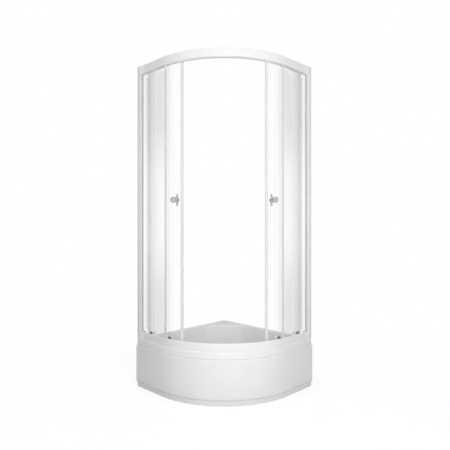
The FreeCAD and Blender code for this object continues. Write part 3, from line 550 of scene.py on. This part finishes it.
def makeTray():
    top, floor, wall = tray["rimTop"], tray["floor"], tray["wall"]
    turns = quarterTurns(tray["roundSteps"])
    draft = math.tan(math.radians(tray["basinDraft"]))
    foot = (top - floor) * draft
    rings = [drainLoop(floor)]
    # floor edge, rounded up into the wall
    soft = tray["floorRound"]
    for turn in turns:
        rings.append(basinLoop(foot + soft * (1 - math.sin(turn)), floor + soft * (1 - math.cos(turn))))
    # upper edge of the basin, rolled over onto the rim
    soft = tray["edgeRound"]
    for turn in turns:
        inset = soft * (math.cos(turn) - 1) + soft * draft * math.cos(turn)
        rings.append(basinLoop(inset, top - soft * (1 - math.sin(turn))))
    # rim top, rounded over into the skirt
    lowRadius = plan["radius"] - tray["rimSetback"]
    lowReach = plan["half"] * 2 - plan["radius"]
    lean = math.tan(math.radians(tray["rimDraft"]))
    topRadius = lowRadius - tray["rimHeight"] * lean
    topReach = lowReach - tray["rimHeight"] * lean
    soft = tray["rimRound"]
    for turn in turns:
        short = 1 - math.sin(turn)
        drop = soft * (1 - math.cos(turn))
        radius = topRadius - soft * short + drop * lean
        rings.append(rimLoop(radius, topReach - tray["rimBackRound"] * short, top - drop))
    # skirt, and the underside one wall further in
    low = top - tray["rimHeight"]
    rings.append(rimLoop(lowRadius, lowReach, low))
    rings.append(rimLoop(lowRadius - wall, lowReach - wall, low))
    rings.append(rimLoop(topRadius - wall, topReach - wall, top - wall))
    rings.append(basinLoop(wall * draft, top - wall, wall))
    rings.append(basinLoop(foot, floor - wall, wall))
    rings.append(drainLoop(floor - wall))
    print("tray:", len(rings), "rings of", len(rings[0]))
    return loft(rings, around=True)


addPiece("trayShell", makeTray(), "acrylic", "cabin", ["tray_shell"])

# Apron with its toe recess: distance from the arc's middle and height, millimetres, and each corner's round
apron = {
    "outline": [(540.5, 0), (540.5, 28), (544, 29.5), (547, 33), (549.2, 38), (550, 45), (550, 261.5),
                (546.6, 266.7), (534, 266.7), (534, 264), (546, 264), (546, 46), (536.5, 34), (536.5, 0)],
    "rounds": [0.8, 1.5, 4.0, 6.0, 8.0, 10.0, 4.0, 0.4, 0.6, 0.6, 1.5, 8.0, 3.0, 0.8],
    "easeSteps": 5,
}
apronRounds = [size * mm for size in apron["rounds"]]
apronSection = eased(inMetres(apron["outline"]), apronRounds, apron["easeSteps"])
addPiece("frontApron", bent(apronSection, 0.0), "acrylic", "cabin", ["front_apron"])
print("apron done")

# Rails: bent aluminium sections with a glazing pocket and a roller track, as millimetres in from the
# outer face and up from the foot. The bottom rail's front lip is the higher one and slopes back.
rails = {
    "bottom": {
        "foot": tray["rimTop"],
        "outline": [(0, 0), (0, 41.2), (0.9, 47), (1.8, 49.7), (2.5, 50.2), (2.5, 24), (10, 24),
                    (10, 47), (12, 47), (12, 36), (31, 36), (31, 40), (33, 40), (33, 0)],
        "faceCorners": [(0, 41.2)],
    },
    "top": {
        "foot": 2.002,
        "outline": [(0, 0), (0, 51), (33, 51), (33, 48.5), (12, 48.5), (12, 12), (31, 12),
                    (31, 16), (33, 16), (33, 0), (10, 0), (10, 20.5), (2.5, 20.5), (2.5, 0)],
        "faceCorners": [(0, 0), (0, 51)],
    },
    "ease": 0.7,
    "faceEase": 2.2,
    "easeSteps": 4,
    "start": 0.052,
}


def railShape(rail):
    face = plan["radius"] - plan["railSetback"]
    corners = [(face - inward * mm, rail["foot"] + up * mm) for inward, up in rail["outline"]]
    eases = ["faceEase" if corner in rail["faceCorners"] else "ease" for corner in rail["outline"]]
    section = eased(corners, [rails[ease] * mm for ease in eases], rails["easeSteps"])
    return bent(section, rails["start"])


for name in ("bottom", "top"):
    addPiece(f"{name}Rail", railShape(rails[name]), "white_aluminium", "cabin", [f"{name}_rail"])

# Wall profiles and jambs: millimetres from the wall and inwards from the rails' face. At the rails a jamb
# has a block that closes the rail's end. Both of its outlines have ten corners, so that they join.
sides = {
    "wallProfile": [(0, -4), (28, -4), (28, -2), (2, -2), (2, 14.5), (28, 14.5), (28, 16.5), (0, 16.5)],
    "jamb": [(4, -1.8), (44, -1.8), (44, 2.6), (40, 2.6), (40, 10), (44, 10), (44, 14.3), (41, 14.3),
             (38, 14.3), (4, 14.3)],
    "jambAtRail": [(4, -1.8), (52, -1.8), (52, 2.6), (40, 2.6), (40, 10), (52, 10), (52, 30.5), (38, 30.5),
                   (38, 14.3), (4, 14.3)],
    "blockBelow": 0.358,  # heights between which a jamb has no block
    "blockAbove": 1.998,
    "ease": 0.8,
    "easeSteps": 3,
    "endBevel": 0.0006,
}


def heights(node):
    low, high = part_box(node)
    return low[2], high[2]


def standing(outlines, levels):
    # outlines at rising heights, on the left arm
    base = plan["railSetback"] - plan["half"]
    rings = []
    for height, name in levels:
        corners = eased(inMetres(outlines[name]), outlines["ease"] * mm, outlines["easeSteps"])
        rings.append([(along - plan["half"], inward + base, height) for along, inward in corners])
    return loft(rings)


def upright(outlines, name, node):
    # one outline over the whole height of a node
    return standing(outlines, [(height, name) for height in heights(node)])


jambFoot, jambTop = heights("left_jamb")
jambShape = standing(sides, [
    (jambFoot, "jambAtRail"), (sides["blockBelow"], "jambAtRail"), (sides["blockBelow"], "jamb"),
    (sides["blockAbove"], "jamb"), (sides["blockAbove"], "jambAtRail"), (jambTop, "jambAtRail")])
wallShape = upright(sides, "wallProfile", "left_wall_profile")
# the wall profiles wear the greyer copy of the white coat, which is painted shade
addTwins("WallProfile", wallShape, "white_aluminium", "cabin", "wall_profile", sides["endBevel"], "paintedShadeWallCoat")
addTwins("Jamb", jambShape, "white_aluminium", "cabin", "jamb", sides["endBevel"])

# Gasket lips beside the jambs, and the strip with its lips and clear fin on each fixed pane's free edge
glazing = {
    "gasket": [(40.4, 2.8), (48.6, 2.8), (49.6, 3.2), (49.8, 3.8), (42, 3.8), (42, 8.8), (50, 8.8),
               (49.8, 9.4), (48.6, 9.8), (40.4, 9.8)],
    "strip": [(282.1, 2.8), (286.4, 2.8), (288, 4.4), (288, 8.2), (286.4, 9.8), (282.1, 9.8)],
    "frontLip": [(276, 2.8), (282, 2.8), (282, 3.7), (276, 3.7)],
    "backLip": [(276, 8.9), (282, 8.9), (282, 9.8), (276, 9.8)],
    "fin": [(287.2, 8.6), (288.1, 8.2), (291.6, 16.4), (297.0, 27.6), (296.4, 28.0), (290.6, 16.9)],
    "ease": 0.4,
    "easeSteps": 3,
}
gasketShape = upright(glazing, "gasket", "left_glass_gasket")
stripShape, frontLip, backLip, finShape = (
    upright(glazing, outline, "left_edge_strip") for outline in ("strip", "frontLip", "backLip", "fin"))
addTwins("Gasket", gasketShape, "gasket_grey", "cabin", "glass_gasket")
addTwins("EdgeStrip", stripShape, "seal_plastic", "cabin", "edge_strip", wear="edgeStrip")
addTwins("EdgeLip", joinedShapes([frontLip, backLip]), "seal_plastic", "cabin", None, wear="edgeLip")
addTwins("EdgeFin", finShape, "seal_plastic", "cabin", None, wear="edgeFin")
print("rails and profiles done")

# Doors stand open about a vertical pivot, in metres and degrees as in the part's source. Angles are
# counted from the diagonal towards the left wall.
door = {
    "pivot": (-0.18756, 0.21018),
    "inset": 0.004167,  # of the closed doors' arc from the rails' arc, along the diagonal
    "diagonal": -45.0,
    "swing": 26.164,
    "outer": 0.495,  # radius of the glass's outer face
    "middle": 0.4925,
    "inner": 0.4897,  # just inside the glass, where caps and buttons sit
    "sweep": 43.0,
    "wheelPlane": 0.5165,
    "wheelAngles": {"front": 9.6, "rear": 30.5},
    "wheelHeights": {"bottom": 0.3553, "top": 2.0263},
    "knobFromEdge": 0.0414,
    "knobHeight": 1.186,
}


def doorHeading(angle):
    turn = math.radians(door["diagonal"] - angle - door["swing"])
    return Vector((math.cos(turn), math.sin(turn), 0.0))


def doorSpot(radius, angle, height):
    # a point on the closed left door, swung open
    turn = math.radians(door["diagonal"] - angle)
    swing = math.radians(-door["swing"])
    shift = door["inset"] / math.sqrt(2)
    px, py = door["pivot"]
    x = plan["centre"][0] - shift + radius * math.cos(turn) - px
    y = plan["centre"][1] + shift + radius * math.sin(turn) - py
    return Vector((px + x * math.cos(swing) - y * math.sin(swing),
                   py + x * math.sin(swing) + y * math.cos(swing), height))


# Seals on the door glass, as radius and distance along the pane: a magnetic strip with clear lips from the
# meeting edge, and past the other edge a clip with a clear fin that is narrower behind the rails
seals = {
    "magnet": [(487.5, 2.4), (489.5, 0.4), (495.5, 0.4), (497.5, 2.4), (497.5, 15), (495.2, 15),
               (495.2, 12.2), (489.8, 12.2), (489.8, 15), (487.5, 15)],
    "outerLip": [(495.2, 15.1), (497.5, 15.1), (497.3, 19), (496, 20.4), (495.2, 20.4)],
    "innerLip": [(489.8, 15.1), (489.8, 20.4), (489, 20.4), (487.7, 19), (487.5, 15.1)],
    "clip": [(488.5, -8), (488.5, 3), (496.5, 3), (496.5, -8), (495.2, -8), (495.2, 0.3), (489.8, 0.3),
             (489.8, -8)],
    "finAtRail": [(496.6, 1.6), (504, 1.8), (504, 2.7), (496.6, 2.9)],
    "fin": [(496.6, 1.6), (512, 2.0), (512, 2.6), (496.6, 2.9)],
    "finFrom": 0.3545,  # heights between which the fin is wide
    "finTo": 1.999,
    "ease": 0.3,
    "easeSteps": 2,
}
paneFoot, paneTop = heights("left_door_glass")


def sealShape(start, *levels):
    # outlines at rising heights, past the start angle on the door
    rings = []
    for height, name in levels:
        corners = eased(inMetres(seals[name]), seals["ease"] * mm, seals["easeSteps"])
        spots = [(far, start + math.degrees(past / door["middle"])) for far, past in corners]
        rings.append([doorSpot(far, angle, height) for far, angle in spots])
    return loft(rings)


def fullSeal(start, name):
    return sealShape(start, (paneFoot, name), (paneTop, name))


magnetShape = fullSeal(0.0, "magnet")
lipShapes = [fullSeal(0.0, lip) for lip in ("outerLip", "innerLip")]
clipShape = fullSeal(door["sweep"], "clip")
trailingFin = sealShape(
    door["sweep"], (paneFoot, "finAtRail"), (seals["finFrom"], "finAtRail"), (seals["finFrom"], "fin"),
    (seals["finTo"], "fin"), (seals["finTo"], "finAtRail"), (paneTop, "finAtRail"))
addTwins("MagneticStrip", magnetShape, "seal_plastic", "door", "magnetic_strip")
addTwins("MagneticLips", joinedShapes(lipShapes), "seal_plastic", "door", None, wear="magnetLip")
addTwins("TrailingSeal", clipShape, "seal_plastic", "door", "trailing_seal", wear="trailClip")
addTwins("TrailingFin", trailingFin, "seal_plastic", "door", None, wear="trailFin")
print("seals done")

# Rollers: a nylon tyre with rounded shoulders and a dished hub, and a round cap inside the glass
roller = {
    "tyre": [(-2.5, 3.05), (-2.5, 4.6), (-1.9, 5.2), (-1.9, 9.2), (-2.5, 9.8), (-2.5, 11.2), (-1.9, 11.8),
             (-1.2, 12.0), (1.2, 12.0), (1.9, 11.8), (2.5, 11.2), (2.5, 9.8), (1.9, 9.2), (1.9, 5.2),
             (2.5, 4.6), (2.5, 3.05)],
    "cap": [(0.0, 3.05), (0.0, 8.4), (-0.6, 9.0), (-4.2, 9.0), (-5.4, 8.2), (-6.0, 6.6), (-6.0, 3.4),
            (-5.4, 2.8), (-5.4, 0.0), (-4.0, 0.0), (-4.0, 3.05)],
}


def doorTurned(profile, radius, angle, height):
    return lathe(inMetres(profile), doorSpot(radius, angle, height), doorHeading(angle))


caps = []
for end, angle in door["wheelAngles"].items():
    for level, height in door["wheelHeights"].items():
        tyre = doorTurned(roller["tyre"], door["wheelPlane"], angle, height)
        name = f"{end.title()}{level.title()}Wheel"
        addTwins(name, tyre, "roller_nylon", f"{end}_{level}_roller", f"{end}_{level}_wheel")
        caps.append(doorTurned(roller["cap"], door["inner"], angle, height))
addTwins("RollerCaps", joinedShapes(caps), "chrome", "door", "roller_caps", wear="plain_plastic")

# Knob: a neck and a rounded grip on an upright bar outside the glass, and a button inside
knob = {
    "grip": [(0.0, 3.05), (0.0, 13.6), (0.6, 14.2), (18.0, 15.4), (24.0, 16.0), (26.4, 16.6), (27.4, 17.8),
             (29.0, 18.5), (37.0, 18.5), (39.6, 17.6), (40.8, 15.6), (41.0, 13.0), (41.0, 0.0), (12.0, 0.0),
             (12.0, 3.05)],
    "button": [(0.0, 3.05), (0.0, 9.8), (-0.5, 10.2), (-3.6, 9.8), (-5.0, 8.4), (-5.4, 6.6), (-5.4, 0.0),
               (-4.0, 0.0), (-4.0, 3.05)],
    "barLength": 0.07,
    "barWidth": 0.01,
    "barThick": 0.008,
    "barRounds": [0.0004, 0.0004, 0.0024, 0.0024],
    "barEnds": [(0.0, 0.62), (0.0012, 0.86), (0.003, 1.0)],  # distance from an end, share of the width
    "easeSteps": 4,
}
knobAngle = math.degrees(door["knobFromEdge"] / door["middle"])


def makeBar():
    half, width, thick = knob["barLength"] / 2, knob["barWidth"] / 2, knob["barThick"]
    outline = [(-width, 0.0), (width, 0.0), (width, thick), (-width, thick)]
    corners = eased(outline, knob["barRounds"], knob["easeSteps"])
    out = doorHeading(knobAngle)
    across = Vector((-out.y, out.x, 0.0))
    foot = doorSpot(door["outer"], knobAngle, door["knobHeight"])
    levels = [(past - half, share) for past, share in knob["barEnds"]]
    levels += [(half - past, share) for past, share in reversed(knob["barEnds"])]
    rings = []
    for height, share in levels:
        middle = foot + Vector((0.0, 0.0, height))
        deep = (1 + share) / 2
        rings.append([middle + across * (a * share) + out * (b * deep) for a, b in corners])
    return loft(rings)


gripShape = doorTurned(knob["grip"], door["outer"] + knob["barThick"], knobAngle, door["knobHeight"])
buttonShape = doorTurned(knob["button"], door["inner"], knobAngle, door["knobHeight"])
addTwins("Knob", gripShape, "chrome", "door", "knob")
addTwins("KnobBar", makeBar(), "chrome", "door", "knob_bar")
addTwins("KnobCap", buttonShape, "chrome", "door", "knob_cap")
print("rollers and knobs done")

# Drain: a domed lift-out cover in a flange with a rolled lip
drain = {
    "cover": [(7.2, 0.0), (7.1, 20.0), (6.7, 36.0), (5.6, 46.0), (4.2, 51.2), (3.2, 52.0), (2.7, 51.4),
              (2.7, 40.4), (2.3, 40.0), (-8.9, 40.0), (-9.3, 39.6), (-9.3, 0.0)],
    "flange": [(0.0, 57.0), (0.9, 56.8), (1.9, 55.6), (2.5, 53.6), (2.5, 42.0), (2.0, 41.2), (1.2, 41.0),
               (-20.0, 41.0), (-20.0, 45.0), (0.0, 45.0)],
    "steps": 72,
}
for name, body in (("cover", "drain_lid"), ("flange", "cabin")):
    at = Vector((*tray["drainAt"], tray["floor"]))
    shape = lathe(inMetres(drain[name]), at, Vector((0.0, 0.0, 1.0)), drain["steps"])
    addPiece(f"drain{name.title()}", shape, "chrome", body, [f"drain_{name}"])
print("drain done")

# Camera, solved from points on the photo's outline
lens = {"place": (2.0664, -2.0608, 1.0367), "turn": (90.0, 0.0, 45.0), "focal": 36.3, "sensor": 36.0}
camera = newObject("camera", bpy.data.cameras.new("camera"))
camera.location = lens["place"]
camera.rotation_euler = [math.radians(turn) for turn in lens["turn"]]
camera.data.lens = lens["focal"]
camera.data.sensor_width = lens["sensor"]
bpy.context.scene.camera = camera

# Floor, studio lamps and surroundings
studio = {
    "floorHalf": 3.0,
    "floorFade": (0.95, 1.9),
    "floorColour": (0.26, 0.26, 0.26, 1.0),
    "floorLift": 0.79,
    "lamps": {
        "key": {"place": (2.88, -2.24, 1.0), "aim": (0.0, 0.0, 1.0), "wide": 1.7, "high": 2.4, "power": 89.5},
        "top": {"place": (0.1, -0.7, 9.0), "aim": (0.0, 0.0, 0.0), "wide": 5.2, "high": 5.2, "power": 212.0},
        "back": {"place": (-2.2, 2.2, 2.1), "aim": (0.0, 0.0, 0.5), "wide": 1.6, "high": 1.6, "power": 20.0},
    },
    "ambient": 0.35,
    "fromBelow": {"band": (0.3, 0.8), "gain": 0.6},
}


def makeFloor():
    # pale for the camera and in reflections, and fading out into the surroundings
    half = studio["floorHalf"]
    corners = [(-half, -half, 0.0), (half, -half, 0.0), (half, half, 0.0), (-half, half, 0.0)]
    mesh = bpy.data.meshes.new("floor")
    mesh.from_pydata(corners, [], [(0, 1, 2, 3)])
    floor = newObject("floor", mesh)
    finish = newFinish("paleFloor")
    seen = finish.ray("Is Camera Ray") + finish.ray("Is Glossy Ray")
    matt = finish.node("ShaderNodeBsdfDiffuse", {}, {"Color": studio["floorColour"]})
    lift = finish.node("ShaderNodeEmission", {}, {"Color": seen * studio["floorLift"], "Strength": 1.0})
    lit = finish.node("ShaderNodeAddShader", {}, {0: matt, 1: lift})
    distance = finish.node("ShaderNodeVectorMath", {"operation": "LENGTH"}, {0: finish.place()}, "Value")
    far = finish.band(distance, *studio["floorFade"])
    clear = finish.node("ShaderNodeBsdfTransparent")
    mesh.materials.append(finish.show(finish.node("ShaderNodeMixShader", {}, {0: far, 1: lit, 2: clear})))


def addLamp(name, lamp):
    # lights surfaces only: neither the camera nor the glass shows it
    light = bpy.data.lights.new(name, "AREA")
    light.shape = "RECTANGLE"
    light.size = lamp["wide"]
    light.size_y = lamp["high"]
    light.energy = lamp["power"]
    holder = newObject(name, light)
    holder.location = lamp["place"]
    way = Vector(lamp["aim"]) - Vector(lamp["place"])
    holder.rotation_euler = way.to_track_quat("-Z", "Y").to_euler()
    holder.visible_camera = False
    holder.visible_transmission = False
    holder.visible_glossy = False


# What reflections see, by how far a direction points to the front and how far it rises: bright in front,
# a level glow at the sides, a little light behind, and more from steeply above and below
mirror = {
    "front": (0.7071, -0.7071, 0.0),
    "dark": 0.14,
    "bright": 0.85,
    "ahead": (0.0, 0.3),
    "aside": (-0.67, -0.3),
    "asideRise": 0.03,
    "asideSpread": (0.05, 0.2),
    "behind": {"band": (-0.7, -0.35), "gain": 0.3},
    "above": {"band": (0.45, 0.9), "gain": 0.45},
    "below": {"band": (0.35, 0.65), "gain": 0.5},
}


def makeWorld():
    # white for the camera and through glass, soft light on surfaces, and the mirror settings in reflections
    world = bpy.data.worlds.new("studio")
    bpy.context.scene.world = world
    finish = Finish(world)
    heading = finish.node("ShaderNodeTexCoord", out="Generated")
    sockets = {0: heading, 1: mirror["front"]}
    forward = finish.node("ShaderNodeVectorMath", {"operation": "DOT_PRODUCT"}, sockets, "Value")
    rise = finish.node("ShaderNodeSeparateXYZ", {}, {0: heading}, "Z")
    fall = 0.0 - rise

    def gained(value, part):
        return finish.band(value, *part["band"]) * part["gain"]

    ahead = finish.band(forward, *mirror["ahead"])
    level = 1.0 - finish.band(abs(rise - mirror["asideRise"]), *mirror["asideSpread"])
    glow = ahead + (1.0 - ahead) * finish.band(forward, *mirror["aside"]) * level
    behind = mirror["behind"]["gain"] - gained(forward, mirror["behind"])
    glossy = mirror["dark"] + glow * (mirror["bright"] - mirror["dark"]) + behind
    glossy = glossy + gained(rise, mirror["above"]) + gained(fall, mirror["below"])
    soft = studio["ambient"] + gained(fall, studio["fromBelow"])
    seen = finish.ray("Is Camera Ray") + finish.ray("Is Transmission Ray")
    mirrored = finish.ray("Glossy Depth").upTo(1.0)
    strength = mirrored * glossy + (1.0 - mirrored) * (seen + (1.0 - seen) * soft)
    shader = finish.node("ShaderNodeBackground", {}, {"Color": strength, "Strength": 1.0})
    finish.show(shader, "ShaderNodeOutputWorld")


makeFloor()
for name, lamp in studio["lamps"].items():
    addLamp(name, lamp)
makeWorld()
bpy.context.scene.view_settings.view_transform = "Standard"
print("studio done")
